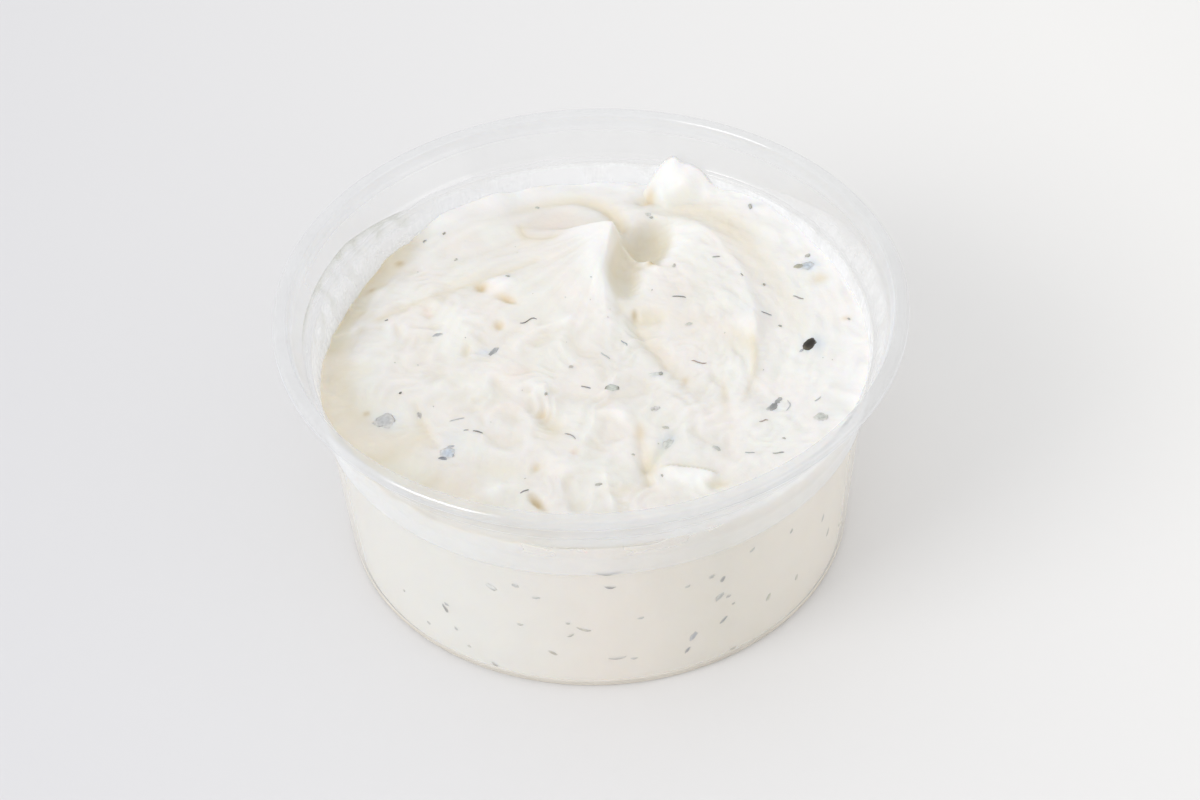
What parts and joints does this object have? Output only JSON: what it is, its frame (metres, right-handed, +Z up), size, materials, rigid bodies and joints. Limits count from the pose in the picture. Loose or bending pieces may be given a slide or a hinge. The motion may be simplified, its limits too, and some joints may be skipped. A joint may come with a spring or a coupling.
{
  "type": "tub of tzatziki dip",
  "caption": "Round translucent deli cup with a rim bead and stacking step, filled with white tzatziki dip whose top is swirled to a peak and flecked with herbs.",
  "frame": {"origin": "middle of the cup's base, on the surface it stands on", "axes": "+Z up through the mouth, +Y towards the back of the dip's swirl, +X right"},
  "size_m": [0.117, 0.117, 0.053],
  "materials": {
    "clear_plastic": "thin milky translucent polypropylene, smooth and slightly glossy",
    "tzatziki": "thick white yogurt with grated cucumber, moist satin",
    "herbs": "dark green dill strands and blue-green herb flakes, matte and damp"
  },
  "bodies": {
    "root": {"cup": "clear_plastic", "dip": "tzatziki"}
  },
  "joints": []
}
